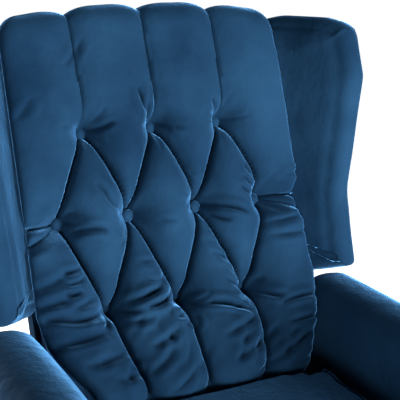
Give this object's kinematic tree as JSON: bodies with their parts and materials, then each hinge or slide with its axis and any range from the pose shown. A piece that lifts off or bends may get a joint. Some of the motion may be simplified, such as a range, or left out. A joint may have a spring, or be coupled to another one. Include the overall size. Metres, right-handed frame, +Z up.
{
  "type": "recliner armchair",
  "caption": "Button-tufted wing armchair whose back leans, seat slides and footrest unfolds on one coupled push-back linkage.",
  "frame": {"origin": "on the floor, in the middle of the outline seen from above", "axes": "+Z up, the sitter faces -Y, +X is towards the right when the chair is seen from its front"},
  "size_m": [0.71, 0.8796, 1.06],
  "materials": {
    "velvet": "short-pile navy velvet with a soft nap sheen",
    "beech": "planed, unfinished",
    "plywood": "birch plywood, sawn edges",
    "dark_wood": "dark stain, satin lacquer",
    "glide_plastic": "moulded, matt",
    "felt": "needled felt",
    "twine": "waxed twine",
    "spring_wire": "oiled spring wire",
    "zinc_steel": "zinc plated",
    "black_steel": "black powder coat, satin"
  },
  "bodies": {
    "base": {"left_arm_frame": "beech", "right_arm_frame": "beech", "left_arm_pad": "velvet", "right_arm_pad": "velvet", "left_arm_front_panel": "velvet", "right_arm_front_panel": "velvet", "left_arm_rear_panel": "velvet", "right_arm_rear_panel": "velvet", "front_cross_rail": "beech", "rear_cross_rail": "beech", "rear_panel": "velvet", "front_legs": "dark_wood", "rear_legs": "dark_wood", "leg_bolts": "zinc_steel", "leg_glides": "glide_plastic", "left_base_rail": "black_steel", "right_base_rail": "black_steel", "base_rail_bolts": "zinc_steel"},
    "front_carry": {"front_carry_links": "black_steel", "front_carry_pins": "zinc_steel"},
    "rear_carry": {"rear_carry_links": "black_steel", "rear_carry_pins": "zinc_steel"},
    "seat": {"left_seat_plate": "black_steel", "right_seat_plate": "black_steel", "seat_frame": "beech", "seat_plate_screws": "zinc_steel", "seat_springs": "spring_wire", "seat_spring_clips": "zinc_steel", "seat_felt": "felt", "seat_cushion": "velvet", "hinge_pins": "zinc_steel", "footrest_ground_pins": "zinc_steel"},
    "back": {"left_back_bracket": "black_steel", "right_back_bracket": "black_steel", "back_bracket_bolts": "zinc_steel", "back_frame": "beech", "back_springs": "spring_wire", "back_cushion": "velvet", "back_buttons": "velvet", "button_ties": "twine", "outside_back": "velvet", "left_wing_board": "plywood", "right_wing_board": "plywood", "left_wing_pad": "velvet", "right_wing_pad": "velvet", "wing_screws": "zinc_steel"},
    "swing": {"swing_links": "black_steel"},
    "guide": {"guide_links": "black_steel"},
    "carrier": {"guide_pins": "zinc_steel", "carrier_links": "black_steel", "elbow_pins": "zinc_steel", "footrest_cross_tube": "black_steel"},
    "footrest": {"left_footrest_bracket": "black_steel", "right_footrest_bracket": "black_steel", "footrest_hinge_pins": "zinc_steel", "footrest_screws": "zinc_steel", "footrest_board": "plywood", "footrest_pad": "velvet"}
  },
  "joints": [
    {"name": "back_recline", "type": "hinge", "parent": "seat", "child": "back", "pos_m": [0, 0.1485, 0.33], "axis": [-1, 0, 0], "range_deg": [0, 25]},
    {"name": "front_carry_swing", "type": "hinge", "parent": "base", "child": "front_carry", "pos_m": [0, -0.21581, 0.205], "axis": [-1, 0, 0], "range_deg": [-40.5, 0.5]},
    {"name": "seat_level", "type": "hinge", "parent": "front_carry", "child": "seat", "pos_m": [0, -0.18708, 0.28393], "axis": [-1, 0, 0], "range_deg": [-0.5, 40.5]},
    {"name": "rear_carry_swing", "type": "hinge", "parent": "base", "child": "rear_carry", "pos_m": [0, 0.0245, 0.205], "axis": [-1, 0, 0], "range_deg": [-40.5, 0.5]},
    {"name": "footrest_swing", "type": "hinge", "parent": "seat", "child": "swing", "pos_m": [0, -0.29581, 0.29], "axis": [-1, 0, 0], "range_deg": [-0.5, 110.5]},
    {"name": "footrest_guide", "type": "hinge", "parent": "seat", "child": "guide", "pos_m": [0, -0.24991, 0.3359], "axis": [-1, 0, 0], "range_deg": [-0.5, 98.5]},
    {"name": "footrest_carrier", "type": "hinge", "parent": "swing", "child": "carrier", "pos_m": [0, -0.27497, 0.17182], "axis": [-1, 0, 0], "range_deg": [-142.6, 0.5]},
    {"name": "footrest_tilt", "type": "hinge", "parent": "carrier", "child": "footrest", "pos_m": [0, -0.36081, 0.325], "axis": [-1, 0, 0], "range_deg": [-0.5, 122.6]}
  ],
  "couplings": [
    {"joint": "front_carry_swing", "follows": "back_recline", "ratio": -1.6},
    {"joint": "seat_level", "follows": "back_recline", "ratio": 1.6},
    {"joint": "rear_carry_swing", "follows": "back_recline", "ratio": -1.6},
    {"joint": "footrest_swing", "follows": "back_recline", "ratio": 4.4},
    {"joint": "footrest_guide", "follows": "back_recline", "ratio": 3.916},
    {"joint": "footrest_carrier", "follows": "back_recline", "ratio": -5.6836},
    {"joint": "footrest_tilt", "follows": "back_recline", "ratio": 4.8836}
  ]
}
